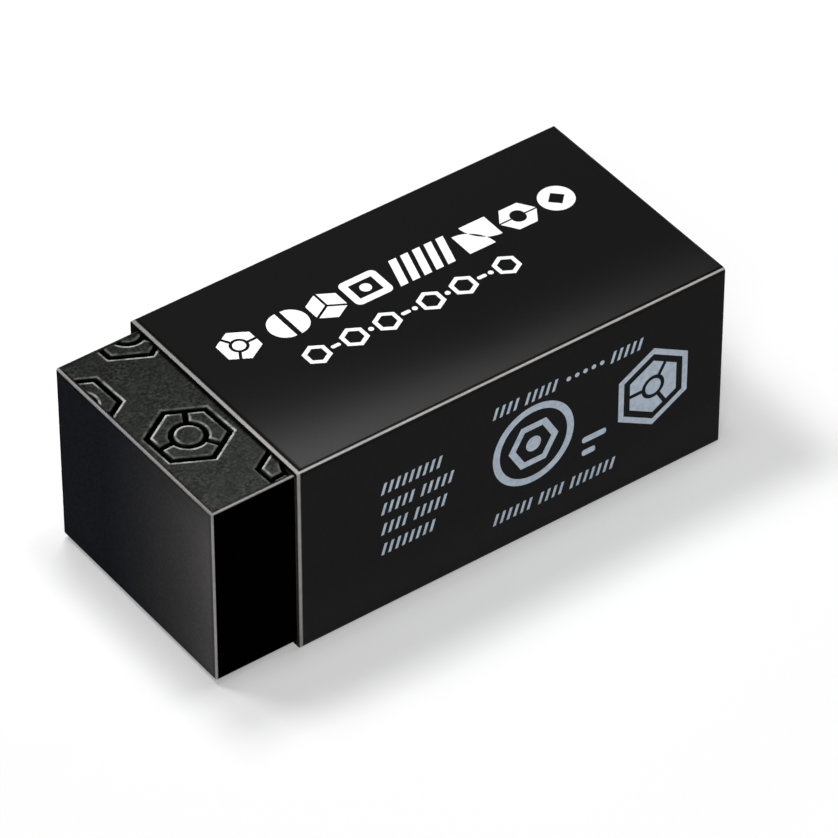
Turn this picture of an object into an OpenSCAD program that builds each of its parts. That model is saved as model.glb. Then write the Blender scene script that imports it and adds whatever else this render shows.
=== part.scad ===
// Block eraser in a folded card sleeve.
//
// The eraser is a bar of black vinyl with crisp edges. Its broad upper face is
// embossed all over with hexagons, each with a round core and three spokes.
// The sleeve is one strip of black card, folded round the bar into a tube that
// is open at both ends. The strip's last panel closes over a glue lap on the
// +Y side, and the bar stands out of the tube at one end.
//
// X runs along the bar, and the bare end points to -X. Y is the width and Z is
// up. The origin is on the surface that the sleeve rests on, under the middle
// of the whole object.

/* [Vinyl block] */
// Length of the vinyl bar
block_length = 37; // [25:1:65]
// Width of the vinyl bar
block_width = 16; // [12:1:24]
// Height of the vinyl bar
block_height = 13; // [10:0.5:16]
// Radius left on each edge of the bar
edge_radius = 0.15; // [0.1:0.05:0.4]

/* [Embossed pattern] */
// Distance across the flats of each hexagon, over its groove
motif_size = 4.6; // [3.6:0.2:5.2]
// Distance from one hexagon's centre to the next
motif_pitch = 7; // [5.6:0.2:9]
// Turn of the rows against the bar's length
pattern_angle = 32; // [0:1:45]
// Width of the grooves
groove_width = 0.36; // [0.2:0.02:0.44]
// Depth of the grooves
groove_depth = 0.3; // [0.1:0.05:0.4]
// Diameter of the round core, inside its groove
core_size = 1.7; // [1:0.1:2.2]
// Plain border between the pattern and the edges of the face
pattern_border = 0.1; // [0.05:0.05:1]

/* [Card sleeve] */
// Thickness of the card
card = 0.3; // [0.25:0.05:0.5]
// Clearance between the bar and the card, on each side
fit = 0.05; // [0.03:0.01:0.1]
// Length of bar left bare in front of the sleeve's mouth
bare_length = 5.75; // [2:0.25:12]
// Depth of the bar's other end inside the sleeve's tail
tail_recess = 0; // [0:0.05:1]
// Outer radius of each creased fold
fold_radius = 0.2; // [0.1:0.05:0.25]
// Height of the glue lap, from the sleeve's underside
lap_height = 9; // [5:0.5:9.5]
// Length that the lap loses at each end, from its root to its free edge
lap_taper = 1.5; // [0.5:0.25:3]
// Height of the last panel's free edge above the sleeve's underside
seam_height = 0.2; // [0.1:0.05:0.2]

/* [Hidden] */
$fn = 96;

VINYL = [0.19, 0.20, 0.19];
PRINTED_CARD = [0.11, 0.11, 0.11];

// The tube's bore, clear of the bar all round
bore_width = block_width + 2 * fit;
bore_height = block_height + 2 * fit;

// The sleeve over its faces. The far side is two cards thick, panel and lap.
sleeve_length = block_length - bare_length + tail_recess;
sleeve_width = bore_width + 3 * card;
sleeve_height = bore_height + 2 * card;

// Ends of the sleeve and of the bar, along X
overall_length = bare_length + sleeve_length;
block_front = -overall_length / 2;
sleeve_mouth = block_front + bare_length;

// Faces of the sleeve and of the bar, across Y
near_side = -sleeve_width / 2;
far_side = sleeve_width / 2;
lap_face = far_side - card;
block_near = near_side + card + fit;
block_base = card + fit;

// Turns a flat outline in Y and Z into a bar along X
module along_x(length) {
    rotate([90, 0, 90])
        linear_extrude(length)
            children();
}

// Turns a flat outline in X and Z into a bar along Y
module along_y(length) {
    translate([0, length, 0])
        rotate([90, 0, 0])
            linear_extrude(length)
                children();
}

// Rectangle with its lower left corner at the origin and four round corners
module round_rectangle(size, radius) {
    translate([radius, 0])
        square([size.x - 2 * radius, size.y]);
    translate([0, radius])
        square([size.x, size.y - 2 * radius]);
    for (x = [radius, size.x - radius], y = [radius, size.y - radius])
        translate([x, y])
            circle(radius);
}

// Bar with every edge rounded, where three rounded outlines cross
module rounded_bar(size, radius) {
    intersection() {
        along_x(size.x)
            round_rectangle([size.y, size.z], radius);
        along_y(size.y)
            round_rectangle([size.x, size.z], radius);
        linear_extrude(size.z)
            round_rectangle([size.x, size.y], radius);
    }
}

// Hexagon of a given size across its flats, standing on a flat
module hexagon(across_flats) {
    circle(d = across_flats / cos(30), $fn = 6);
}

// Grooves of one motif: hexagon, round core and the spokes that join them
module motif() {
    core_radius = core_size / 2;
    hexagon_inside = motif_size / 2 - groove_width;
    difference() {
        hexagon(motif_size);
        hexagon(2 * hexagon_inside);
    }
    difference() {
        circle(core_radius + groove_width);
        circle(core_radius);
    }
    for (turn = [30:120:270])
        rotate(turn)
            translate([core_radius + groove_width / 2, -groove_width / 2])
                square([hexagon_inside - core_radius, groove_width]);
}

// Rows of motifs over a whole face, trimmed to leave its border plain
module embossing(size, border) {
    motif_reach = motif_size / 2 / cos(30);
    far_column = (size.x * cos(pattern_angle) + size.y * sin(pattern_angle)) / 2;
    far_row = (size.x * sin(pattern_angle) + size.y * cos(pattern_angle)) / 2;
    columns = floor((far_column + motif_reach) / motif_pitch);
    rows = floor((far_row + motif_reach) / motif_pitch);
    intersection() {
        translate([border, border])
            square([size.x - 2 * border, size.y - 2 * border]);
        translate(size / 2)
            rotate(pattern_angle)
                for (column = [-columns:columns], row = [-rows:rows])
                    translate([column, row] * motif_pitch)
                        motif();
    }
}

module eraser_block() {
    size = [block_length, block_width, block_height];
    color(VINYL)
        translate([block_front, block_near, block_base])
            difference() {
                rounded_bar(size, edge_radius);
                translate([0, 0, block_height - groove_depth])
                    linear_extrude(2 * groove_depth)
                        embossing([size.x, size.y], edge_radius + pattern_border);
            }
}

// The strip's section: floor, near panel, roof, and the far panel over the lap
module band_section() {
    difference() {
        union() {
            translate([near_side, 0])
                round_rectangle([lap_face - near_side, sleeve_height], fold_radius);
            difference() {
                translate([near_side, 0])
                    round_rectangle([sleeve_width, sleeve_height], fold_radius);
                translate([near_side, 0])
                    square([sleeve_width, seam_height]);
            }
        }
        translate([near_side + card, card])
            square([lap_face - near_side - card, bore_height]);
    }
}

// The glue lap, seen from the side: it narrows from its root to its free edge
module lap_outline() {
    polygon([
        [0, card / 2],
        [sleeve_length, card / 2],
        [sleeve_length, card],
        [sleeve_length - lap_taper, lap_height],
        [lap_taper, lap_height],
        [0, card]
    ]);
}

module card_sleeve() {
    color(PRINTED_CARD)
        translate([sleeve_mouth, 0, 0])
            union() {
                along_x(sleeve_length)
                    band_section();
                translate([0, lap_face - card, 0])
                    along_y(card)
                        lap_outline();
            }
}

eraser_block();
card_sleeve();
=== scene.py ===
"""Looks, camera and light for a vinyl block eraser in its folded card sleeve."""

import math

import bmesh
import bpy
import numpy as np
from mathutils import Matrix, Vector
from mathutils.geometry import delaunay_2d_cdt


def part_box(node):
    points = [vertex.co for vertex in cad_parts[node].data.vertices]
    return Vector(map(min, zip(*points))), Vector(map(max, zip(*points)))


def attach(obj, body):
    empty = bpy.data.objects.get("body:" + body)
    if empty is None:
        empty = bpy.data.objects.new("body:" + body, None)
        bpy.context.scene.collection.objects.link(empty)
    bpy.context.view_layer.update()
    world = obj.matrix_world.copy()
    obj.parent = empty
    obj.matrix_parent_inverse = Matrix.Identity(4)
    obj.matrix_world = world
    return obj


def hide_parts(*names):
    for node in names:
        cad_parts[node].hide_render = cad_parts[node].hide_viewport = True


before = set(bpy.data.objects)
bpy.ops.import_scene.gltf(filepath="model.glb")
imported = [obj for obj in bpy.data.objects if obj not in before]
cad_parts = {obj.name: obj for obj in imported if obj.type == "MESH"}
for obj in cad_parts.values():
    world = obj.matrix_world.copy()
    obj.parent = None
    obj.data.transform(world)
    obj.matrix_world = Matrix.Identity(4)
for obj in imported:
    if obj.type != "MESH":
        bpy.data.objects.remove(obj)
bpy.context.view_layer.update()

MM = 0.001  # the lengths below are in millimetres, and Blender works in metres

# Sizes of the vinyl block that the CAD source sets, in millimetres
EDGE_RADIUS = 0.15
MOTIF_SIZE = 4.6
MOTIF_PITCH = 7.0
PATTERN_ANGLE = 32.0
GROOVE_WIDTH = 0.36
GROOVE_DEPTH = 0.3
CORE_SIZE = 1.7
PATTERN_BORDER = 0.1

# Rounding of the grooves that only the visual model has, in millimetres
LIP = 0.08  # width of the rolled lip beside a groove
LIP_DROP = 0.03  # depth that the lip rolls down
LIP_END = 0.19  # distance from the groove at which the lip's rubbed and highlighted grey ends
LIP_WAY = (-0.25, 0.97)  # the lips that lean this way are painted lightest, as a painted highlight
WALL = 0.06  # width that a groove's wall takes
LINE_MARGIN = 0.005  # the grooves' lines stop this far inside the top's outline
OUTLINE_STEP = 0.25  # length of each step along that outline

# Sizes of the card sleeve that the CAD source sets, in millimetres
CARD = 0.3
FOLD_RADIUS = 0.2
LAP_HEIGHT = 9.0
LAP_TAPER = 1.5
SEAM_HEIGHT = 0.2
CUT_RADIUS = 0.03  # softness of the cut edges, which only the visual model has

# The ink stands this far out of the card, inside the CAD box, and reaches this far down
INK_RISE = 0.004
INK_DEPTH = 0.03

block_low, block_high = (np.array(corner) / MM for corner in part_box("eraser_block"))
sleeve_low, sleeve_high = (np.array(corner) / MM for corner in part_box("card_sleeve"))


# ---------------------------------------------------------------- outlines


def turned(x, y, angle):
    """The point (x, y), turned about the origin by an angle in radians."""
    cosine, sine = math.cos(angle), math.sin(angle)
    return (x * cosine - y * sine, x * sine + y * cosine)


def arc(x, y, radius, start, sweep=90, steps=6):
    """Points along part of a circle, from start over sweep, both in degrees."""
    angles = np.radians(np.linspace(start, start + sweep, steps + 1))
    return [(x + radius * math.cos(a), y + radius * math.sin(a)) for a in angles]


def circle(x, y, radius, steps=40):
    turns = [2 * math.pi * k / steps for k in range(steps)]
    return [(x + radius * math.cos(a), y + radius * math.sin(a)) for a in turns]


def rounded(x0, y0, x1, y1, radius):
    """Outline of a rectangle with round corners."""
    found = arc(x0 + radius, y0 + radius, radius, 180)
    found += arc(x1 - radius, y0 + radius, radius, 270)
    found += arc(x1 - radius, y1 - radius, radius, 0)
    return found + arc(x0 + radius, y1 - radius, radius, 90)


def hexagon(x, y, apothem, turn=0.0):
    reach = apothem / math.cos(math.radians(30))
    corners = [turned(reach, 0, math.radians(turn + 60 * k)) for k in range(6)]
    return [(x + p, y + q) for p, q in corners]


def panel(apothem, ring, half, start, steps):
    """One of the three panels that a motif's spokes leave, about the motif's centre.

    It lies between the hexagon of that apothem and the ring round the core. half is half
    a spoke's width, and start is the first spoke's way in degrees.
    """
    first, second = math.radians(start), math.radians(start + 120)
    corner = apothem / math.cos(math.radians(30))
    lean = math.asin(half / ring)
    loop = [
        turned(apothem, half, first),
        turned(corner, 0, first + math.radians(30)),
        turned(corner, 0, second - math.radians(30)),
        turned(apothem, -half, second),
    ]
    back = np.linspace(second - lean, first + lean, steps)
    return loop + [turned(ring, 0, a) for a in back]


# ---------------------------------------------------------------- meshes


def make_object(name, points, faces, materials, smooth=False, material_of=None):
    """A mesh object from points in millimetres, with one material for each face."""
    mesh = bpy.data.meshes.new(name)
    mesh.from_pydata((np.asarray(points, float) * MM).tolist(), [], faces)
    for material in materials:
        mesh.materials.append(material)
    mesh.polygons.foreach_set("use_smooth", [smooth] * len(mesh.polygons))
    if material_of is not None:
        mesh.polygons.foreach_set("material_index", material_of)
    mesh.validate()
    mesh.update()
    made = bpy.data.objects.new(name, mesh)
    bpy.context.scene.collection.objects.link(made)
    return made


def groove_distance(x, y):
    """How far each point of the top face is outside the grooves, below zero inside.

    x and y are in millimetres from the face's centre.
    """
    u, v = turned(x, y, -math.radians(PATTERN_ANGLE))
    u = u - MOTIF_PITCH * np.round(u / MOTIF_PITCH)
    v = v - MOTIF_PITCH * np.round(v / MOTIF_PITCH)
    half = GROOVE_WIDTH / 2
    flats = np.full(np.shape(u), -np.inf)
    for k in range(6):
        a = math.radians(30 + 60 * k)
        flats = np.maximum(flats, u * math.cos(a) + v * math.sin(a))
    outline = np.abs(flats - (MOTIF_SIZE / 2 - half)) - half
    ring = np.abs(np.hypot(u, v) - (CORE_SIZE / 2 + half)) - half
    found = np.minimum(outline, ring)
    for k in range(3):
        a = math.radians(30 + 120 * k)
        along, across = turned(u, v, -a)
        inner = CORE_SIZE / 2 + half - along
        outer = along - (MOTIF_SIZE / 2 - half)
        spoke = np.maximum(np.abs(across) - half, np.maximum(inner, outer))
        found = np.minimum(found, spoke)
    border = EDGE_RADIUS + PATTERN_BORDER
    size = block_high - block_low
    outside = np.maximum(
        np.abs(x) - (size[0] / 2 - border), np.abs(y) - (size[1] / 2 - border)
    )
    return np.maximum(found, outside)


def groove_profile(d):
    """Height of the embossed face at a distance d from a groove's edge."""
    roll = np.clip((LIP - d) / LIP, 0, 1)
    fall = np.clip(-d / WALL, 0, 1)
    return -LIP_DROP * roll**2 - (GROOVE_DEPTH - LIP_DROP) * fall * fall * (3 - 2 * fall)


def motif_loops(d):
    """Outlines of one motif at a distance d outside its grooves, about its centre."""
    loops = [hexagon(0, 0, MOTIF_SIZE / 2 + d), circle(0, 0, CORE_SIZE / 2 - d, 48)]
    apothem = MOTIF_SIZE / 2 - GROOVE_WIDTH - d
    ring = CORE_SIZE / 2 + GROOVE_WIDTH + d
    half = GROOVE_WIDTH / 2 + d
    return loops + [panel(apothem, ring, half, 30 + 120 * k, 15) for k in range(3)]


def clip(p, q, limit):
    """The part of the line from p to q inside a rectangle about the origin, or None."""
    start, end = 0.0, 1.0
    for axis in (0, 1):
        run = q[axis] - p[axis]
        for sign in (1, -1):
            room = limit[axis] - sign * p[axis]
            if abs(run) < 1e-12:
                if room < 0:
                    return None
            elif sign * run > 0:
                end = min(end, room / (sign * run))
            else:
                start = max(start, room / (sign * run))
    if end - start < 1e-6:
        return None
    return [(p[0] + t * (q[0] - p[0]), p[1] + t * (q[1] - p[1])) for t in (start, end)]


def build_top(half):
    """Triangles of the flat top, split along every line of the grooves' walls and lips.

    half is the top's half length and half width.
    """
    turn = math.radians(PATTERN_ANGLE)
    levels = [LIP_END, LIP, LIP * 0.6, LIP * 0.25, 0.0] + [-WALL * k / 4 for k in (1, 2, 3, 4)]
    count = math.ceil((math.hypot(*half) + MOTIF_SIZE) / MOTIF_PITCH)
    steps = range(-count, count + 1)
    lines = []
    limit = half - LINE_MARGIN
    for column, row in ((column, row) for column in steps for row in steps):
        u, v = MOTIF_PITCH * column, MOTIF_PITCH * row
        if any(abs(m) > side + MOTIF_SIZE for m, side in zip(turned(u, v, turn), half)):
            continue
        for loop in (loop for level in levels for loop in motif_loops(level)):
            placed = [turned(u + p, v + q, turn) for p, q in loop]
            for p, q in zip(placed, placed[1:] + placed[:1]):
                part = clip(p, q, limit)
                if part:
                    lines.append(part)
    # The pattern's own border cuts grooves off square
    for level in levels[1:]:
        x, y = half - PATTERN_BORDER + level
        border = [(-x, -y), (x, -y), (x, y), (-x, y)]
        lines += [list(pair) for pair in zip(border, border[1:] + border[:1])]
    # The top's outline, in short steps for the rounded edges to start from
    ends = [np.linspace(-side, side, round(2 * side / OUTLINE_STEP) + 1) for side in half]
    outline = [(x, -half[1]) for x in ends[0][:-1]] + [(half[0], y) for y in ends[1][:-1]]
    outline += [(x, half[1]) for x in ends[0][:0:-1]] + [(-half[0], y) for y in ends[1][:0:-1]]
    points = [Vector(p) for p in outline]
    edges = [(i, (i + 1) % len(outline)) for i in range(len(outline))]
    for p, q in lines:
        edges.append((len(points), len(points) + 1))
        points += [Vector(p), Vector(q)]
    found, _, triangles, _, _, _ = delaunay_2d_cdt(points, edges, [], 0, 1e-4, False)
    found = np.array([tuple(p) for p in found])
    return found, [list(t) for t in triangles], outline


def lip_lean(x, y):
    """How far the lip at each point of the top leans along LIP_WAY, from -1 to 1."""
    step = 0.01
    slope = []
    for a, b in ((step, 0.0), (0.0, step)):
        ahead = groove_distance(x + a, y + b)
        behind = groove_distance(x - a, y - b)
        slope.append((ahead - behind) / (2 * step))
    return -(slope[0] * LIP_WAY[0] + slope[1] * LIP_WAY[1])


def ways_out(x, y, half):
    """The ways in which a point of the top's outline moves out: one, or more at a corner."""
    corner_steps = 5
    at_x, at_y = abs(abs(x) - half[0]) < 1e-6, abs(abs(y) - half[1]) < 1e-6
    if at_x and at_y:
        middle = math.atan2(math.copysign(1, y), math.copysign(1, x))
        spread = np.linspace(middle - math.pi / 4, middle + math.pi / 4, corner_steps + 1)
        return [(math.cos(a), math.sin(a)) for a in spread]
    return [(math.copysign(1, x), 0) if at_x else (0, math.copysign(1, y))]


def build_block(materials):
    """The vinyl bar: an embossed top in a rounded box."""
    r = EDGE_RADIUS
    centre = (block_low + block_high) / 2
    half = (block_high - block_low)[:2] / 2 - r
    flat, faces, outline = build_top(half)
    d = groove_distance(flat[:, 0], flat[:, 1])
    height = block_high[2] + groove_profile(d)
    top = np.stack([flat[:, 0] + centre[0], flat[:, 1] + centre[1], height], axis=-1)
    points = [top]
    field = [d]
    facing = [lip_lean(flat[:, 0], flat[:, 1])]

    # Rings of points run from the outline over the upper edge, down and round the lower edge
    where = [np.argmin(np.hypot(flat[:, 0] - x, flat[:, 1] - y)) for x, y in outline]
    ring_of = [(i, way) for i, (x, y) in zip(where, outline) for way in ways_out(x, y, half)]
    base = np.array([top[i] for i, _ in ring_of])
    base[:, 2] = 0
    out = np.array([[w[0], w[1], 0.0] for _, w in ring_of])
    count = len(ring_of)
    steps = 6
    levels = [
        (r * math.sin(t), block_high[2] - r + r * math.cos(t))
        for t in np.linspace(0, math.pi / 2, steps + 1)[1:]
    ]
    levels += [
        (r * math.sin(t), block_low[2] + r - r * math.cos(t))
        for t in np.linspace(math.pi / 2, 0, steps + 1)
    ]
    previous = np.array([i for i, _ in ring_of])
    total = len(top)
    for reach, z in levels:
        ring = base + out * reach
        ring[:, 2] = z
        points.append(ring)
        field.append(np.full(count, 1.0))
        facing.append(np.zeros(count))
        current = np.arange(total, total + count)
        total += count
        for i in range(count):
            j = (i + 1) % count
            quad = [previous[i], current[i], current[j], previous[j]]
            if previous[i] == previous[j]:
                quad = quad[:3]
            faces.append([int(q) for q in quad])
        previous = current
    faces.append([int(i) for i in reversed(previous)])
    made = make_object("vinyl_block", np.concatenate(points), faces, materials, smooth=True)
    for name, values in (("groove_distance", field), ("lip_facing", facing)):
        stored = made.data.attributes.new(name, "FLOAT", "POINT")
        stored.data.foreach_set("value", np.concatenate(values).astype(np.float32))
    # The points that meet at each corner become one
    mesh = bmesh.new()
    mesh.from_mesh(made.data)
    bmesh.ops.remove_doubles(mesh, verts=mesh.verts, dist=1e-7)
    mesh.to_mesh(made.data)
    mesh.free()
    flats = made.modifiers.new("flat_faces", "WEIGHTED_NORMAL")
    flats.mode = "FACE_AREA"
    flats.weight = 50
    flats.keep_sharp = True
    return made


PRINTED, RAW = 0, 1  # places of the sleeve's two materials


def tube():
    """Points, faces and materials of the tube that the strip's panels make.

    Its outline runs round the bore, and each point of it has a partner, the corner of the
    bore that its share of the cut ends reaches to.
    """
    near = sleeve_low[1] + INK_RISE
    far = sleeve_high[1]
    top = sleeve_high[2] - INK_RISE
    base = sleeve_low[2]
    lap_face = far - CARD
    r = FOLD_RADIUS
    bore = [
        (near - INK_RISE + CARD, base + CARD),
        (lap_face, base + CARD),
        (lap_face, sleeve_high[2] - CARD),
        (near - INK_RISE + CARD, sleeve_high[2] - CARD),
    ]
    corners = [
        (arc(near + r, base + r, r, 180), 0),
        (arc(lap_face - r, base + r, r, 270) + [(lap_face, base + SEAM_HEIGHT)], 1),
        ([(far, base + SEAM_HEIGHT)], 1),
        (arc(far - r, top - r, r, 0), 2),
        (arc(near + r, top - r, r, 90), 3),
    ]
    outer = [p for group, _ in corners for p in group]
    partner = [k for group, k in corners for _ in group]
    points, faces, kinds = [], [], []
    for x in (sleeve_low[0], sleeve_high[0]):
        points += [(x, y, z) for y, z in outer + bore]
    per_end = len(outer) + len(bore)
    n = len(outer)
    seam = len(corners[0][0]) + len(corners[1][0])
    seam_faces = (seam - 2, seam - 1)
    for i in range(n):
        j = (i + 1) % n
        a, b = partner[i], partner[j]
        faces.append([i, j, per_end + j, per_end + i])
        kinds.append(RAW if i in seam_faces else PRINTED)
        for e, flip in ((0, False), (1, True)):
            cap = [e * per_end + q for q in (i, n + a, n + b, j)]
            if a == b:
                cap = cap[:2] + cap[3:]
            faces.append(cap[::-1] if flip else cap)
            kinds.append(RAW)
    for a in range(4):
        b = (a + 1) % 4
        faces.append([n + b, n + a, per_end + n + a, per_end + n + b])
        kinds.append(RAW)
    return points, faces, kinds


def lap():
    """Points and faces of the glue lap, from its root in the floor to its free edge."""
    bite = 0.02  # how far it reaches into the far panel
    inset = 0.001
    length = sleeve_high[0] - sleeve_low[0]
    lap_face = sleeve_high[1] - CARD
    outline = [
        (inset, CARD / 2),
        (length - inset, CARD / 2),
        (length - inset, CARD),
        (length - LAP_TAPER, LAP_HEIGHT),
        (LAP_TAPER, LAP_HEIGHT),
        (inset, CARD),
    ]
    points = []
    for y in (lap_face - CARD, lap_face + bite):
        points += [(sleeve_low[0] + u, y, sleeve_low[2] + z) for u, z in outline]
    m = len(outline)
    faces = [list(range(m)), [m + i for i in reversed(range(m))]]
    for i in range(m):
        j = (i + 1) % m
        faces.append([j, i, m + i, m + j])
    return points, faces


def build_sleeve(materials):
    """The card strip folded into a tube, and the glue lap inside its far panel."""
    points, faces, kinds = tube()
    lap_points, lap_faces = lap()
    faces += [[len(points) + i for i in face] for face in lap_faces]
    kinds += [RAW] * len(lap_faces)
    points += lap_points
    made = make_object("folded_sleeve", points, faces, materials, material_of=kinds)
    made.data.shade_smooth()
    made.data.set_sharp_from_angle(angle=math.radians(35))
    soft = made.modifiers.new("soft_cuts", "BEVEL")
    soft.width = CUT_RADIUS * MM
    soft.segments = 2
    soft.limit_method = "ANGLE"
    soft.angle_limit = math.radians(50)
    soft.use_clamp_overlap = True
    return made


# ---------------------------------------------------------------- print


class Print:
    """Flat closed shapes of ink on one panel: u runs from the mouth, v down the panel."""

    def __init__(self, place):
        self.place = place
        self.points = []
        self.faces = []

    def prism(self, outline):
        """One closed plate from an outline of (u, v) points."""
        pairs = zip(outline, outline[1:] + outline[:1])
        if sum(a[0] * b[1] - b[0] * a[1] for a, b in pairs) < 0:
            outline = outline[::-1]
        n = len(outline)
        first = len(self.points)
        self.points += [self.place(u, v, 0.0) for u, v in outline]
        self.points += [self.place(u, v, -INK_DEPTH) for u, v in outline]
        self.faces.append([first + i for i in reversed(range(n))])
        self.faces.append([first + n + i for i in range(n)])
        for i in range(n):
            j = (i + 1) % n
            self.faces.append([first + i, first + j, first + n + j, first + n + i])

    def band(self, outside, inside):
        """A closed ring between two loops that have the same number of points."""
        n = len(outside)
        first = len(self.points)
        for depth in (0.0, -INK_DEPTH):
            for loop in (outside, inside):
                self.points += [self.place(u, v, depth) for u, v in loop]
        # The four loops, two above and two below, are joined in pairs round the section
        for i in range(n):
            j = (i + 1) % n
            for p, q in ((0, 1), (1, 3), (3, 2), (2, 0)):
                a, b = first + p * n, first + q * n
                self.faces.append([a + j, a + i, b + i, b + j])

    def disc(self, u, v, radius, steps=40):
        self.prism(circle(u, v, radius, steps))

    def ring(self, u, v, outside, inside, steps=64):
        self.band(circle(u, v, outside, steps), circle(u, v, inside, steps))

    def bar(self, u0, v0, u1, v1, radius):
        self.prism(rounded(u0, v0, u1, v1, radius))

    def slanted(self, u, v0, v1, width, lean):
        """One upright bar from v0 down to v1, whose top leans along the row."""
        self.prism([(u, v1), (u + width, v1), (u + width + lean, v0), (u + lean, v0)])

    def hatch(self, u, v, groups):
        """A row of short slanted strokes about v, in groups with a gap between them."""
        half_height, width, lean, pitch, gap = 0.42, 0.21, 0.26, 0.5, 0.35
        for group in groups:
            for _ in range(group):
                self.slanted(u, v - half_height, v + half_height, width, lean)
                u += pitch
            u += gap

    def frame(self, u0, v0, u1, v1, radius, stroke):
        """A ring with straight sides, and corners that are almost square inside."""
        inside = rounded(u0 + stroke, v0 + stroke, u1 - stroke, v1 - stroke, 0.02)
        self.band(rounded(u0, v0, u1, v1, radius), inside)

    def finish(self, name, material):
        return make_object(name, self.points, self.faces, [material])


def top_place(u, v, depth):
    """A point of the upper panel: v runs from its far fold."""
    return (sleeve_low[0] + u, sleeve_high[1] - v, sleeve_high[2] + depth)


def side_place(u, v, depth):
    """A point of the near panel: v runs down from its upper fold."""
    return (sleeve_low[0] + u, sleeve_low[1] - depth, sleeve_high[2] - v)


def badge(ink, u, v, apothem, core, gap, turn=0.0):
    """The embossed motif in ink: a round core in three panels of a hexagon."""
    ink.disc(u, v, core)
    for k in range(3):
        outline = panel(apothem, core + gap, gap / 2, turn + 30 + 120 * k, 20)
        ink.prism([(u + p, v + q) for p, q in outline])


def tiles(ink, u, v0, v1):
    """A row of bold shapes between v0 and v1, from u on."""
    half = (v1 - v0) / 2
    mid = (v0 + v1) / 2
    steps = 23  # along each arc
    # Two half discs, back to back
    ink.prism(arc(u + 1.15, mid, half, 90, 180, steps))
    ink.prism(arc(u + 1.5, mid, half, -90, 180, steps))
    u += 3.0
    # Three rhombi that fill a hexagon, moved apart a little
    gap = 0.1
    for turn in (30, 150, 270):
        corners = [turned(half, 0, math.radians(turn + k)) for k in (0, 60, 120)]
        away = turned(gap, 0, math.radians(turn + 60))
        place = (u + 1.1 + away[0], mid + away[1])
        ink.prism([(place[0] + p, place[1] + q) for p, q in [(0, 0)] + corners])
    u += 2.6
    # Frame with a round dot
    ink.frame(u, v0, u + 2.7, v1, 0.4, 0.5)
    ink.disc(u + 1.35, mid, 0.38)
    u += 3.1
    # Slanted bars
    for k in range(5):
        ink.slanted(u + 0.87 * k, v0, v1, 0.55, 0.75)
    u += 5.1
    # Two quarter discs, corner to corner
    ink.prism([(u, v1)] + arc(u, v1, 1.9, 270, 90, steps))
    ink.prism([(u + 2.75, v0)] + arc(u + 2.75, v0, 1.9, 90, 90, steps))
    u += 3.1
    # Hexagon with a round hole, in two halves
    rim = [math.radians(a) for a in (0, 60, 120, 180)]
    shape = [(1.35 * math.cos(a), 1.17 * math.sin(a)) for a in rim] + arc(0, 0, 0.5, 180, -180, 12)
    for flip in (1, -1):
        ink.prism([(u + 1.35 + p, mid + flip * (q + 0.06)) for p, q in shape])
    u += 3.05
    # Disc with a square hole, set on its corner
    hole = []
    for k in range(64):
        a = 2 * math.pi * k / 64
        reach = 0.62 / (abs(math.cos(a)) + abs(math.sin(a)))
        hole.append((u + 1.18 + reach * math.cos(a), mid + reach * math.sin(a)))
    ink.band(circle(u + 1.18, mid, half, 64), hole)


def beads(ink, u, v, row):
    """A row of hexagon rings (h), dots (d) and dashes (-) along v, from u on."""
    for kind in row:
        if kind == "h":
            ink.band(hexagon(u + 0.88, v, 0.80, 90), hexagon(u + 0.88, v, 0.52, 90))
            u += 1.9
        elif kind == "d":
            ink.disc(u + 0.19, v, 0.18, 20)
            u += 0.5
        else:
            ink.bar(u, v - 0.14, u + 0.65, v + 0.14, 0.12)
            u += 0.79


def print_top(material):
    """White print on the upper panel: a badge, a row of bold tiles, a row of beads."""
    ink = Print(top_place)
    badge(ink, 3.85, 5.7, 1.2, 0.42, 0.2, turn=90)
    tiles(ink, 6.0, 4.6, 6.95)
    beads(ink, 6.2, 9.05, "h-hdh-dhdh-dh")
    return ink.finish("top_print", material)


def print_side(material):
    """Pale print on the near panel: hatched rows, a ring mark and a hexagon mark."""
    ink = Print(side_place)
    for k, groups in enumerate(((9,), (5, 5), (4, 5), (8,))):
        ink.hatch(5.9, 4.35 + 1.57 * k, groups)
    # Hatching and dots above the marks
    above = 2.75
    ink.hatch(14.0, above, (4, 5))
    for k in range(5):
        ink.disc(19.6 + 0.62 * k, above, 0.17, 16)
    ink.hatch(22.7, above, (5,))
    # Ring mark: a ring round a hexagon
    place = (17.05, 6.5)
    ink.ring(*place, 3.0, 2.5)
    ink.band(hexagon(*place, 1.6), hexagon(*place, 1.15))
    ink.disc(*place, 0.55)
    # Hexagon mark: the embossed motif in a hexagon
    place = (26.0, 6.6)
    ink.band(hexagon(*place, 2.6, 90), hexagon(*place, 2.2, 90))
    badge(ink, *place, 1.75, 0.58, 0.28, turn=30)
    # Bars between the marks, and hatching below
    ink.bar(20.7, 8.0, 22.5, 8.45, 0.18)
    ink.bar(20.7, 9.0, 21.7, 9.45, 0.18)
    ink.hatch(14.1, 11.15, (6, 4, 7))
    return ink.finish("side_print", material)


# ---------------------------------------------------------------- materials


NOISE_LOW, NOISE_HIGH = 0.3, 0.7  # most of a noise's values lie between these
FACING = 0.7  # a surface faces along an axis where its normal's share of it is larger


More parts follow.
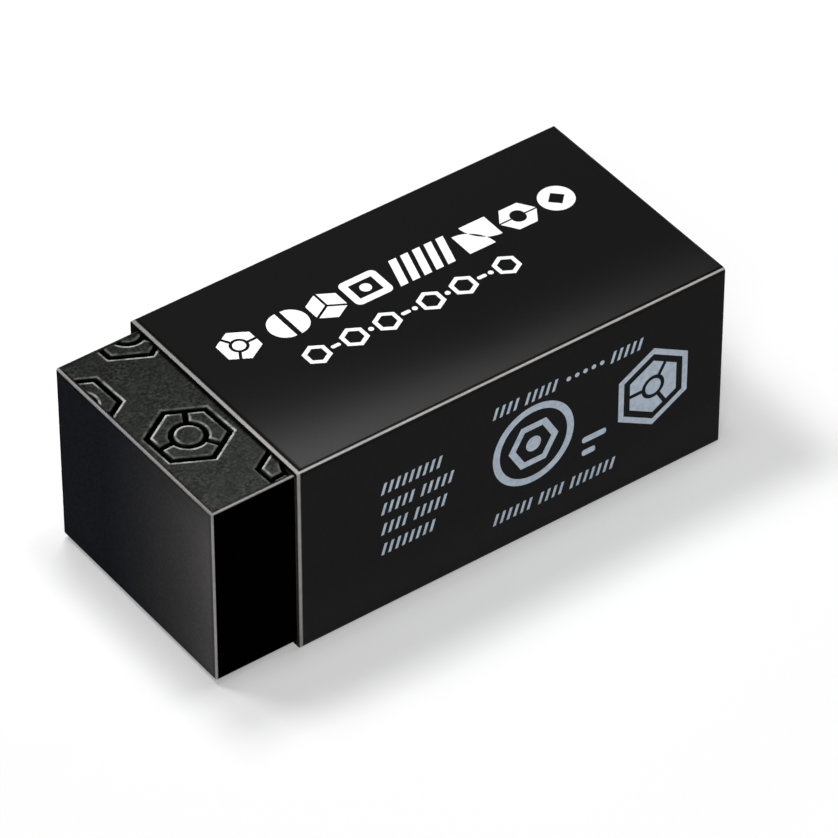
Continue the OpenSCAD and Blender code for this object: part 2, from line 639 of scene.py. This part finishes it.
class Nodes:
    """Short names for the shader nodes that the materials use."""

    def __init__(self, name):
        self.material = bpy.data.materials.new(name)
        self.material.use_nodes = True
        self.tree = self.material.node_tree
        self.shader = self.tree.nodes["Principled BSDF"]
        where = self.tree.nodes.new("ShaderNodeTexCoord")
        scale = self.tree.nodes.new("ShaderNodeVectorMath")
        scale.operation = "SCALE"
        self.tree.links.new(where.outputs["Object"], scale.inputs[0])
        scale.inputs["Scale"].default_value = 1 / MM
        self.point = scale.outputs[0]  # in millimetres
        split = self.tree.nodes.new("ShaderNodeSeparateXYZ")
        self.tree.links.new(self.point, split.inputs[0])
        self.axes = [split.outputs[k] for k in range(3)]
        self.x, self.y, self.z = self.axes
        geometry = self.tree.nodes.new("ShaderNodeNewGeometry")
        turn = self.tree.nodes.new("ShaderNodeVectorTransform")
        turn.vector_type = "NORMAL"
        turn.convert_from = "WORLD"
        turn.convert_to = "OBJECT"
        self.tree.links.new(geometry.outputs["True Normal"], turn.inputs[0])
        facing = self.tree.nodes.new("ShaderNodeSeparateXYZ")
        self.tree.links.new(turn.outputs[0], facing.inputs[0])
        self.nx, self.ny, self.nz = (facing.outputs[k] for k in range(3))

    def put(self, socket, value):
        if isinstance(value, bpy.types.NodeSocket):
            self.tree.links.new(value, socket)
        elif isinstance(value, (tuple, list)) and len(value) == 3 and socket.type == "RGBA":
            socket.default_value = (*value, 1.0)
        else:
            socket.default_value = value

    def math(self, operation, a, b=0.0, clamp=False):
        node = self.tree.nodes.new("ShaderNodeMath")
        node.operation = operation
        node.use_clamp = clamp
        self.put(node.inputs[0], a)
        self.put(node.inputs[1], b)
        return node.outputs[0]

    def add(self, a, b):
        return self.math("ADD", a, b)

    def sub(self, a, b):
        return self.math("SUBTRACT", a, b)

    def mul(self, a, b):
        return self.math("MULTIPLY", a, b)

    def high(self, a, b):
        return self.math("MAXIMUM", a, b)

    def low(self, a, b):
        return self.math("MINIMUM", a, b)

    def ramp(self, value, start, end, low=0.0, high=1.0, smooth=True):
        """Runs from low at start to high at end."""
        node = self.tree.nodes.new("ShaderNodeMapRange")
        node.interpolation_type = "SMOOTHSTEP" if smooth else "LINEAR"
        node.clamp = True
        names = ("Value", "From Min", "From Max", "To Min", "To Max")
        for socket, number in zip(names, (value, start, end, low, high)):
            self.put(node.inputs[socket], number)
        return node.outputs[0]

    def between(self, share, start, end):
        """Runs from start where share is 0 to end where it is 1."""
        return self.ramp(share, 0.0, 1.0, start, end)

    def spread(self, noise, low, high):
        """Stretches most of a noise to run from low to high."""
        return self.ramp(noise, NOISE_LOW, NOISE_HIGH, low, high, smooth=False)

    def strip(self, distance, start, full, fade, end):
        """1 on a strip between the distances full and fade, 0 before start and past end."""
        return self.mul(self.ramp(distance, start, full), self.ramp(distance, end, fade))

    def pick(self, share, yes, no):
        """yes where share is 1, and no where it is 0."""
        return self.add(self.mul(share, yes), self.mul(self.sub(1.0, share), no))

    def faces(self, normal, sign=1.0):
        """1 on surfaces that face along an axis, where normal is their share of it."""
        return self.math("GREATER_THAN", self.mul(normal, sign), FACING)

    def gaps(self, low, high):
        """Distances from the sides of a box, as a pair for each axis."""
        return [(self.sub(p, a), self.sub(b, p)) for p, a, b in zip(self.axes, low, high)]

    def bell(self, distance, width):
        """1 where distance is 0, falling as a bell curve of the given width."""
        share = self.math("DIVIDE", distance, width)
        return self.math("EXPONENT", self.mul(self.mul(share, share), -0.5))

    def edge(self, a, b, reach_a, reach_b):
        """1 on the edge where the distances a and b both vanish, 0 past the reaches."""
        furthest = self.high(self.math("DIVIDE", a, reach_a), self.math("DIVIDE", b, reach_b))
        return self.ramp(furthest, 1.2, 0.8)

    def tone_of(self, level):
        """The linear tone that shows as level, which runs from 0 to 1 as on a screen."""
        return self.math("POWER", self.mul(self.add(level, 0.055), 1 / 1.055), 2.4)

    def noise(self, size, detail=2.0, stretch=(1, 1, 1), rough=0.5):
        """Noise whose features are about size millimetres across, from 0 to 1."""
        point = self.point
        if stretch != (1, 1, 1):
            node = self.tree.nodes.new("ShaderNodeVectorMath")
            node.operation = "MULTIPLY"
            self.tree.links.new(point, node.inputs[0])
            node.inputs[1].default_value = stretch
            point = node.outputs[0]
        node = self.tree.nodes.new("ShaderNodeTexNoise")
        self.tree.links.new(point, node.inputs["Vector"])
        node.inputs["Scale"].default_value = 1 / size
        node.inputs["Detail"].default_value = detail
        node.inputs["Roughness"].default_value = rough
        return node.outputs["Fac"]

    def mix(self, share, a, b):
        """Colour a where share is 0, and b where it is 1."""
        node = self.tree.nodes.new("ShaderNodeMix")
        node.data_type = "RGBA"
        colours = [s for s in node.inputs if s.type == "RGBA"]
        self.put(node.inputs[0], share)
        self.put(colours[0], a)
        self.put(colours[1], b)
        return [s for s in node.outputs if s.type == "RGBA"][0]

    def tint(self, tone, red=1.0, green=1.0, blue=1.0):
        """A colour from one tone and the share of it in each channel."""
        node = self.tree.nodes.new("ShaderNodeCombineColor")
        for k, share in enumerate((red, green, blue)):
            self.put(node.inputs[k], self.mul(tone, share))
        return node.outputs[0]

    def attribute(self, name):
        node = self.tree.nodes.new("ShaderNodeAttribute")
        node.attribute_name = name
        return node.outputs["Fac"]

    def rubbed_and_highlighted(self, plain, rub_and_highlight, soon, tint):
        """A plain colour, and a grey of the tone of the rub or painted highlight, with a tint
        where that is more than soon.
        """
        pale_mark = self.tint(self.high(rub_and_highlight, 0.02), *tint)
        return self.mix(self.ramp(rub_and_highlight, 0.0, soon), plain, pale_mark)

    def bump(self, height, depth):
        """A bump depth millimetres deep for heights from 0 to 1."""
        node = self.tree.nodes.new("ShaderNodeBump")
        node.inputs["Strength"].default_value = 1.0
        node.inputs["Distance"].default_value = depth * MM
        self.put(node.inputs["Height"], height)
        self.tree.links.new(node.outputs[0], self.shader.inputs["Normal"])

    def set(self, colour, rough, specular):
        """Fills in the shader, and hands back the material."""
        self.put(self.shader.inputs["Base Color"], colour)
        self.put(self.shader.inputs["Roughness"], rough)
        self.put(self.shader.inputs["Specular IOR Level"], specular)
        return self.material


def grey(value):
    return (value, value, value)


# Levels run from 0 to 1 as on a screen. Tones, rubs and painted highlights are linear.
TOP_NEAR_LEVEL = 0.202
TOP_FAR_LEVEL = 0.141
END_FAR_LEVEL = 0.134
END_NEAR_LEVEL = 0.377
MOTTLE = 0.016
LIP_TONE = 0.405
NEAR_SIDE_PAINTED_SHADE = 0.0003
OTHER_SIDE_TONE = 0.022
FRONT_TOP_RUB_AND_HIGHLIGHT = 0.260
NEAR_TOP_RUB_AND_HIGHLIGHT = 0.330
UPRIGHT_RUB_AND_HIGHLIGHT = 0.435
OTHER_EDGE_RUB = 0.05
CARD_LEVEL = 0.075
SIDE_GAIN = 2.77
MOUTH_FAR_RUB_AND_HIGHLIGHT = 0.222
MOUTH_NEAR_RUB_AND_HIGHLIGHT = 0.355
MOUTH_SIDE_RUB_AND_HIGHLIGHT = 0.455
CREASE_RUB_AND_HIGHLIGHT = 0.467
FAINT_RUB = 0.030
BOARD_TONE = 0.047
CORNER_RUB_AND_HIGHLIGHT = 0.43
FLOOR_TONE = 0.74
FLOOR_GLOW = 0.252
WORLD_LIGHT = 0.060

# The middle of the floor that the lamps light, and the distances over which that fades
LIT_MIDDLE = (-6.0, 8.0)
LIT_REACH = (22.0, 150.0)

# Share of red, green and blue in each tint
VINYL_RUB_AND_HIGHLIGHT = (1.04, 1.0, 0.98)
CARD_RUB_AND_HIGHLIGHT = (1.045, 1.0, 0.985)
WARM_VINYL = (1.02, 0.98, 1.0)
COLD_VINYL = (0.88, 0.93, 1.16)
GREEN_VINYL = (0.975, 1.03, 0.945)
LIP_TINT = (1.01, 1.0, 0.985)
BOARD_TINT = (1.08, 0.98, 0.92)


def embossed(n, d, in_groove, to_outline):
    """Tone of the embossed face, and how much its lips are rubbed and painted with highlight."""
    low, high = block_low, block_high
    # Coarse grain in clouds, over a slow mottle, and grooves painted near black as painted shade
    grain = n.ramp(n.noise(0.2, 3.0, rough=0.6), 0.36, 0.64, -1.0, 1.0, smooth=False)
    level = n.ramp(n.y, low[1], high[1], TOP_NEAR_LEVEL, TOP_FAR_LEVEL, smooth=False)
    level = n.add(level, n.mul(grain, n.ramp(n.noise(1.3, 3.0), 0.35, 0.65, 0.028, 0.058)))
    level = n.add(level, n.spread(n.noise(1.1, 2.0, rough=0.6), -MOTTLE, MOTTLE))
    tone = n.mul(n.tone_of(level), n.between(in_groove, 1.0, 0.01))
    # Lips that the sleeve has rubbed, unevenly and not at the pattern's border; those that lean
    # along LIP_WAY are painted lightest, as a painted highlight
    lip = n.strip(d, -0.02, 0.03, LIP, LIP_END)
    lip = n.mul(lip, n.ramp(n.attribute("lip_facing"), -0.6, 0.8, 0.14, 1.0))
    lip = n.mul(lip, n.ramp(to_outline, 0.24, 0.40))
    lip = n.mul(lip, n.ramp(n.noise(0.55, 3.0), 0.36, 0.60, 0.30, 1.0))
    tone = n.add(tone, n.mul(lip, LIP_TONE))
    # Painted shadow: a dark line on the top where the card's edge rests at the mouth
    painted_mouth_shadow = n.strip(n.sub(sleeve_low[0], n.x), -0.12, -0.04, 0.07, 0.16)
    return n.mul(tone, n.between(painted_mouth_shadow, 1.0, 0.3)), lip


def cut_end(n, fine):
    """Tone of the cut end, painted lighter to its near side as painted light, and less so at foot
    and top.
    """
    across = n.ramp(n.y, 3.0, block_low[1], smooth=False)
    rise = n.add(n.mul(across, 0.75), n.mul(n.math("POWER", across, 4.0), 0.30))
    upward = n.mul(n.ramp(n.z, 3.0, 9.5, 0.84, 1.0), n.ramp(n.z, 11.0, 13.0, 1.0, 0.86))
    rise = n.mul(n.mul(rise, upward), END_NEAR_LEVEL - END_FAR_LEVEL)
    return n.tone_of(n.add(n.add(END_FAR_LEVEL, rise), n.spread(fine, -MOTTLE, MOTTLE)))


def vinyl():
    """Black vinyl: grained on the embossed face, smooth and darker where it was cut; its near side
    is painted near black as painted shade, and its cut end painted lighter to its near side as
    painted light.
    """
    n = Nodes("black_vinyl")
    gaps = n.gaps(block_low, block_high)
    (from_front, _), (from_near, _), (_, from_top) = gaps
    to_x, to_y, to_z = (n.low(*pair) for pair in gaps)
    # On a face, the distance to its nearest edge: the second smallest of the three
    to_edge = n.high(n.low(to_x, to_y), n.low(n.high(to_x, to_y), to_z))
    fine = n.noise(0.16, 2.0)
    soft = n.noise(0.9, 3.0)
    top = block_high[2]
    d = n.attribute("groove_distance")
    in_groove = n.ramp(d, 0.02, -0.05)
    below_lips = n.math("GREATER_THAN", n.z, top - GROOVE_DEPTH - 0.1)
    on_top = n.high(n.ramp(n.z, top - 0.12, top - 0.04), n.mul(in_groove, below_lips))
    top_tone, lip = embossed(n, d, in_groove, n.low(to_x, to_y))
    on_end = n.faces(n.nx, -1.0)
    # The near side is painted near black, as painted shade
    side_tone = n.pick(n.faces(n.ny, -1.0), NEAR_SIDE_PAINTED_SHADE, OTHER_SIDE_TONE)
    tone = n.pick(on_top, top_tone, n.pick(on_end, cut_end(n, fine), side_tone))
    # The vinyl is a little darker just beside its rubbed and highlighted edges
    beside = n.strip(to_edge, 0.19, 0.21, 0.26, 0.34)
    tone = n.mul(tone, n.between(beside, 1.0, 0.65))
    cold = n.mul(n.between(on_end, 0.35, 1.0), n.ramp(n.y, -5.0, 3.0))
    sides = n.mix(cold, n.tint(tone, *WARM_VINYL), n.tint(tone, *COLD_VINYL))
    plain = n.mix(on_top, sides, n.mix(lip, n.tint(tone, *GREEN_VINYL), n.tint(tone, *LIP_TINT)))
    # Edges rubbed lighter: the top's front and near edges and the upright one are also lightened
    # as a painted highlight, and the rest are rubbed faintly
    patchiness = n.ramp(n.noise(0.8, 3.0), 0.3, 0.6, 0.85, 1.0)
    front_top = n.mul(n.edge(from_front, from_top, 0.148, 0.100), FRONT_TOP_RUB_AND_HIGHLIGHT)
    near_top = n.mul(n.edge(from_near, from_top, 0.125, 0.080), NEAR_TOP_RUB_AND_HIGHLIGHT)
    upright = n.mul(n.edge(from_front, from_near, 0.136, 0.096), UPRIGHT_RUB_AND_HIGHLIGHT)
    others = n.mul(n.ramp(to_edge, 0.15, 0.08), OTHER_EDGE_RUB)
    rub_and_highlight = n.mul(n.high(n.high(front_top, near_top), n.high(upright, others)), patchiness)
    colour = n.rubbed_and_highlighted(plain, rub_and_highlight, 0.02, VINYL_RUB_AND_HIGHLIGHT)
    n.bump(n.add(n.mul(fine, 0.6), n.mul(soft, 0.4)), 0.006)
    return n.set(colour, n.spread(soft, 0.58, 0.72), 0.001)


def printed_tone(n, fine, on_side, on_top):
    """Tone of the printed card where nothing has rubbed it."""
    tail = 31.0  # how far from the mouth the slow changes along the panels end
    (from_mouth, _), (to_near, _), (to_base, to_top) = n.gaps(sleeve_low, sleeve_high)
    # Painted sheen: the upper panel is painted lighter along its near fold, most of all by the
    # mouth, standing in for a reflection of the lamps
    strength = n.ramp(from_mouth, 0.0, tail, 0.197, 0.057, smooth=False)
    strength = n.mul(strength, n.ramp(from_mouth, 0.25, 0.60))
    width = n.ramp(from_mouth, 0.0, 16.0, 3.55, 2.05, smooth=False)
    painted_sheen = n.mul(n.mul(strength, n.bell(to_near, width)), on_top)
    level = n.add(n.add(CARD_LEVEL, painted_sheen), n.spread(fine, -0.005, 0.005))
    # The near panel has less light, so its ink is a little lighter, and most at its foot
    gain = n.ramp(from_mouth, 8.0, tail, SIDE_GAIN, SIDE_GAIN * 0.98, smooth=False)
    gain = n.mul(gain, n.ramp(to_base, 0.0, 5.0, 1.42, 1.0))
    tone = n.mul(n.tone_of(level), n.pick(on_side, gain, 1.0))
    # The scored line beside the fold, and a fainter one beside the mouth
    fold_top = n.mul(n.strip(to_near, 0.19, 0.23, 0.30, 0.37), 0.85)
    fold_side = n.mul(n.strip(to_top, 0.17, 0.21, 0.28, 0.36), 0.4)
    beside_mouth = n.mul(n.strip(from_mouth, 0.28, 0.32, 0.36, 0.52), n.mul(on_top, 0.5))
    scored = n.high(n.add(fold_top, fold_side), beside_mouth)
    return n.mul(tone, n.sub(1.0, n.low(scored, 0.85)))


def card_rub_and_highlight(n, on_side):
    """How far the card's outer side is rubbed to grey at its mouth, its folds and its tail; at the
    mouth and the near upper fold this grey is also a painted highlight.
    """
    low, high = sleeve_low, sleeve_high
    (from_mouth, to_tail), (to_near, to_far), (to_base, to_top) = n.gaps(low, high)
    patchiness = n.ramp(n.noise(0.7, 3.0), 0.3, 0.65, 0.88, 1.0)
    mouth_width = n.sub(0.225, n.mul(on_side, 0.02))
    mouth = n.ramp(n.sub(from_mouth, mouth_width), 0.05, -0.05)
    # The mouth's grey is painted lighter towards the near side, as a painted highlight
    top_rub_and_highlight = n.ramp(n.y, high[1], low[1], MOUTH_FAR_RUB_AND_HIGHLIGHT, MOUTH_NEAR_RUB_AND_HIGHLIGHT, smooth=False)
    mouth = n.mul(mouth, n.pick(on_side, MOUTH_SIDE_RUB_AND_HIGHLIGHT, top_rub_and_highlight))
    crease = n.mul(n.edge(to_near, to_top, 0.145, 0.095), CREASE_RUB_AND_HIGHLIGHT)
    # Only the faces turned up or to the near side get the mouth's and crease's painted highlight
    outward = n.math("GREATER_THAN", n.high(n.nz, n.mul(n.ny, -1.0)), 0.3)
    rub_and_highlight = n.mul(n.mul(n.high(mouth, crease), patchiness), outward)
    # The other folds and the tail's edges are rubbed only faintly
    fold = n.high(n.edge(to_far, to_top, 0.12, 0.12), n.edge(to_near, to_base, 0.10, 0.10))
    fold = n.high(fold, n.edge(n.low(n.sub(to_far, CARD), to_far), to_base, 0.10, 0.10))
    faint = n.high(fold, n.ramp(n.low(to_tail, from_mouth), 0.12, 0.06))
    faint = n.mul(faint, n.ramp(n.noise(0.9, 3.0), 0.35, 0.65, 0.35, 1.0))
    return n.high(rub_and_highlight, n.mul(faint, FAINT_RUB))


def printed_card():
    """Black printed card with a satin varnish, rubbed to grey and painted with a highlight at the
    mouth and the near fold.
    """
    n = Nodes("black_card")
    fine = n.noise(0.12, 2.0)
    fibre = n.noise(0.45, 3.0, (0.4, 1, 1))
    on_side = n.faces(n.ny, -1.0)
    tone = printed_tone(n, fine, on_side, n.faces(n.nz))
    colour = n.rubbed_and_highlighted(n.tint(tone), card_rub_and_highlight(n, on_side), 0.03, CARD_RUB_AND_HIGHLIGHT)
    n.bump(n.add(n.mul(fine, 0.5), n.mul(fibre, 0.5)), 0.004)
    return n.set(colour, n.spread(fibre, 0.42, 0.52), 0.01)


def raw_card():
    """The card's cut edges and unprinted inner side: dark brown-black board."""
    n = Nodes("dyed_board")
    fibre = n.noise(0.16, 4.0, (1, 1, 0.5))
    # At the mouth the near panel's cut edge is light, and the rest is in deep shade
    below_roof = n.ramp(n.z, sleeve_high[2] - 0.45, sleeve_high[2] - 0.30, 1.0, 0.0)
    near = n.ramp(n.y, sleeve_low[1] + 0.4, sleeve_low[1] + 0.32)
    shade = n.between(n.mul(below_roof, near), 0.035, 1.0)
    mouth_tone = n.mul(n.spread(fibre, BOARD_TONE * 0.75, BOARD_TONE * 1.25), shade)
    at_mouth = n.faces(n.nx, -1.0)
    elsewhere = n.mul(n.between(n.faces(n.nx), 0.022, 0.055), n.spread(fibre, 0.8, 1.2))
    tone = n.pick(at_mouth, mouth_tone, elsewhere)
    # The mouth's outer corner is rubbed and painted with a highlight, to the same grey as the card
    # beside it
    to_outside = n.low(n.sub(n.y, sleeve_low[1]), n.sub(sleeve_high[2], n.z))
    rub_and_highlight = n.mul(n.mul(at_mouth, n.ramp(to_outside, 0.075, 0.025)), CORNER_RUB_AND_HIGHLIGHT)
    colour = n.rubbed_and_highlighted(n.tint(tone, *BOARD_TINT), rub_and_highlight, 0.03, CARD_RUB_AND_HIGHLIGHT)
    n.bump(fibre, 0.02)
    return n.set(colour, n.spread(fibre, 0.8, 0.95), 0.03)


def ink(name, thin, full):
    """Opaque ink, a little thin over the card's fibres."""
    n = Nodes(name)
    fibre = n.noise(0.3, 3.0)
    colour = n.mix(n.ramp(fibre, NOISE_LOW, NOISE_HIGH), thin, full)
    n.bump(n.noise(0.12, 2.0), 0.002)
    return n.set(colour, n.spread(fibre, 0.45, 0.55), 0.2)


def floor_material():
    """Pale floor: white to the camera where nothing shades it."""
    n = Nodes("studio_floor")
    n.set(grey(FLOOR_TONE), 0.9, 0.0)
    path = n.tree.nodes.new("ShaderNodeLightPath")
    seen = n.high(path.outputs["Is Camera Ray"], path.outputs["Is Glossy Ray"])
    seen = n.high(seen, path.outputs["Is Transmission Ray"])
    n.put(n.shader.inputs["Emission Color"], (1.0, 1.0, 1.0))
    # The lamps light only the floor below them, so the rest glows more
    along, across = n.sub(n.x, LIT_MIDDLE[0]), n.sub(n.y, LIT_MIDDLE[1])
    reach = n.math("SQRT", n.add(n.mul(along, along), n.mul(across, across)))
    glow = n.ramp(reach, *LIT_REACH, FLOOR_GLOW, 1.0)
    n.put(n.shader.inputs["Emission Strength"], n.mul(seen, glow))
    # Its lower side is clear, so the object's base can be looked at from below
    side = n.tree.nodes.new("ShaderNodeNewGeometry")
    clear = n.tree.nodes.new("ShaderNodeBsdfTransparent")
    either = n.tree.nodes.new("ShaderNodeMixShader")
    output = n.tree.nodes["Material Output"]
    n.tree.links.new(side.outputs["Backfacing"], either.inputs[0])
    n.tree.links.new(n.shader.outputs[0], either.inputs[1])
    n.tree.links.new(clear.outputs[0], either.inputs[2])
    n.tree.links.new(either.outputs[0], output.inputs["Surface"])
    return n.material


# ---------------------------------------------------------------- object

white_ink = ink("white_ink", grey(0.82), grey(0.87))
pale_ink = ink("pale_blue_ink", (0.57, 0.67, 0.785), (0.68, 0.805, 0.935))

block = build_block([vinyl()])
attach(block, "eraser")
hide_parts("eraser_block")

sleeve = build_sleeve([printed_card(), raw_card()])
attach(sleeve, "sleeve")
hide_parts("card_sleeve")

for printed in (print_top(white_ink), print_side(pale_ink)):
    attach(printed, "sleeve")

# ---------------------------------------------------------------- stage, light and camera

FLOOR_HALF = 1500
FLOOR_DROP = 0.02
floor_corners = [(-1, -1), (1, -1), (1, 1), (-1, 1)]
floor = make_object(
    "studio_floor",
    [(FLOOR_HALF * x, FLOOR_HALF * y, -FLOOR_DROP) for x, y in floor_corners],
    [[0, 1, 2, 3]],
    [floor_material()],
)

# Each lamp's name, the way to it, its distance and size in millimetres, and its strength.
# The first three are small and close by, so their shadows spread out all round the object.
LAMP_TARGET = Vector((0, 0, 7))
LAMPS = (
    ("key_light", (-0.302, 0.360, 0.883), 180, 38, 0.264),
    ("near_light", (-0.0943, 0.2590, 0.9613), 90, 19, 0.439),
    ("top_light", (0.0604, -0.0349, 0.9976), 140, 24.5, 0.251),
    ("front_fill", (-0.418, -0.570, 0.707), 900, 400, 0.29),
    ("rear_fill", (0.945, 0.253, 0.208), 900, 655, 0.283),
)


def lamp(name, way, distance, size, strength):
    """A square soft light; strength is what it adds to a white surface that faces it."""
    data = bpy.data.lights.new(name, "AREA")
    data.shape = "SQUARE"
    data.size = size * MM
    data.energy = strength * math.pi**2 * (distance * MM) ** 2
    made = bpy.data.objects.new(name, data)
    toward = Vector(way).normalized()
    made.location = (LAMP_TARGET + toward * distance) * MM
    made.rotation_euler = toward.to_track_quat("Z", "Y").to_euler()
    bpy.context.scene.collection.objects.link(made)


for settings in LAMPS:
    lamp(*settings)

# White where the sky is seen, and only a little light on the object
world = bpy.data.worlds.new("studio")
world.use_nodes = True
sky = world.node_tree
background = sky.nodes["Background"]
background.inputs["Color"].default_value = (1, 1, 1, 1)
path = sky.nodes.new("ShaderNodeLightPath")
seen = path.outputs["Is Camera Ray"]
for also in ("Is Glossy Ray", "Is Transmission Ray"):
    either = sky.nodes.new("ShaderNodeMath")
    either.operation = "MAXIMUM"
    sky.links.new(seen, either.inputs[0])
    sky.links.new(path.outputs[also], either.inputs[1])
    seen = either.outputs[0]
strength = sky.nodes.new("ShaderNodeMapRange")
strength.inputs["To Min"].default_value = WORLD_LIGHT
strength.inputs["To Max"].default_value = 1.0
sky.links.new(seen, strength.inputs["Value"])
sky.links.new(strength.outputs[0], background.inputs["Strength"])
bpy.context.scene.world = world

# The camera was fitted to ten corners of the object. Lengths are in millimetres.
AZIMUTH, ELEVATION = math.radians(-36.224), math.radians(41.147)
DISTANCE = 373.84
TARGET = Vector((1.55, -0.782, 5.109))
LENS, SENSOR_WIDTH = 267.89, 36.0
camera_data = bpy.data.cameras.new("camera")
camera_data.lens = LENS
camera_data.sensor_width = SENSOR_WIDTH
camera = bpy.data.objects.new("camera", camera_data)
back = Vector((
    math.sin(AZIMUTH) * math.cos(ELEVATION),
    -math.cos(AZIMUTH) * math.cos(ELEVATION),
    math.sin(ELEVATION),
))
camera.location = (TARGET + back * DISTANCE) * MM
camera.rotation_euler = back.to_track_quat("Z", "Y").to_euler()
bpy.context.scene.collection.objects.link(camera)
bpy.context.scene.camera = camera
bpy.context.scene.view_settings.view_transform = "Standard"
